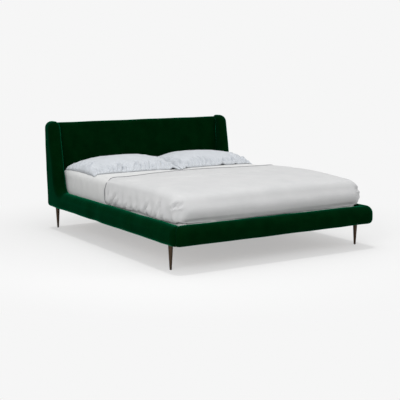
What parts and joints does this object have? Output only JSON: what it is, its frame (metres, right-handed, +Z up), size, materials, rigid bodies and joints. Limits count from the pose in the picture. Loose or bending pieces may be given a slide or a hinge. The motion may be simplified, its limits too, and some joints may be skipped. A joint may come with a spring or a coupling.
{
  "type": "upholstered bed",
  "caption": "Velvet upholstered bed with a low wrap-around headboard and slim tapered legs, dressed with mattress, sheet, quilt and pillows.",
  "frame": {"origin": "on the floor under the middle of the bed", "axes": "+Z up, +Y from the foot to the headboard, +X to the right as seen from the foot"},
  "size_m": [1.82, 2.1956, 0.92],
  "materials": {
    "velvet": "short-pile velvet",
    "padding": "open-cell foam",
    "rail_timber": "planed softwood",
    "board": "plain board",
    "slat_wood": "lacquered birch",
    "leg_bronze": "satin bronze-brown coat",
    "black_steel": "satin powder coat",
    "zinc": "zinc plated",
    "black_plastic": "matte",
    "lining": "woven backing",
    "mattress_ticking": "knitted ticking",
    "sheet_cotton": "cotton sheeting",
    "quilt_cotton": "brushed cotton",
    "pillow_cotton": "cotton sheeting",
    "pillow_fill": "fibre fill"
  },
  "bodies": {
    "bed_frame": {"beam_hangers": "black_steel", "bracket_bolts": "zinc", "centre_beam": "black_steel", "centre_leg": "black_steel", "centre_leg_insert": "black_plastic", "corner_brackets": "black_steel", "foot_beam": "rail_timber", "foot_cover": "velvet", "foot_padding": "padding", "head_rail": "rail_timber", "headboard_board": "board", "headboard_cover": "velvet", "headboard_lining": "lining", "headboard_padding": "padding", "ledger_left": "rail_timber", "ledger_right": "rail_timber", "leg_foot_left": "leg_bronze", "leg_foot_right": "leg_bronze", "leg_glide_foot_left": "black_plastic", "leg_glide_foot_right": "black_plastic", "leg_glide_head_left": "black_plastic", "leg_glide_head_right": "black_plastic", "leg_head_left": "leg_bronze", "leg_head_right": "leg_bronze", "leg_plate_screws": "zinc", "leg_plates": "black_steel", "leg_studs": "zinc", "side_beam_left": "rail_timber", "side_beam_right": "rail_timber", "side_cover_left": "velvet", "side_cover_right": "velvet", "side_padding_left": "padding", "side_padding_right": "padding", "slat_caps_centre": "black_plastic", "slat_caps_left": "black_plastic", "slat_caps_right": "black_plastic", "slats_left": "slat_wood", "slats_right": "slat_wood", "wing_board_left": "board", "wing_board_right": "board"},
    "levelling_foot": {"levelling_foot": "black_plastic"},
    "mattress": {"mattress": "mattress_ticking", "fitted_sheet": "sheet_cotton"},
    "duvet": {"duvet": "quilt_cotton"},
    "pillow_left": {"pillow_left": "pillow_fill", "pillow_case_left": "pillow_cotton"},
    "pillow_right": {"pillow_right": "pillow_fill", "pillow_case_right": "pillow_cotton"}
  },
  "joints": [
    {"name": "levelling_foot_screw", "type": "slide", "parent": "bed_frame", "child": "levelling_foot", "axis": [0, 0, 1], "range_m": [0, 0.012]},
    {"name": "mattress_lift", "type": "slide", "parent": "bed_frame", "child": "mattress", "axis": [0, 0, 1], "range_m": [0, 0.65]},
    {"name": "duvet_lift", "type": "slide", "parent": "mattress", "child": "duvet", "axis": [0, 0, 1], "range_m": [0, 0.62]},
    {"name": "pillow_left_lift", "type": "slide", "parent": "mattress", "child": "pillow_left", "axis": [0, 0, 1], "range_m": [0, 0.42]},
    {"name": "pillow_right_lift", "type": "slide", "parent": "mattress", "child": "pillow_right", "axis": [0, 0, 1], "range_m": [0, 0.42]}
  ]
}
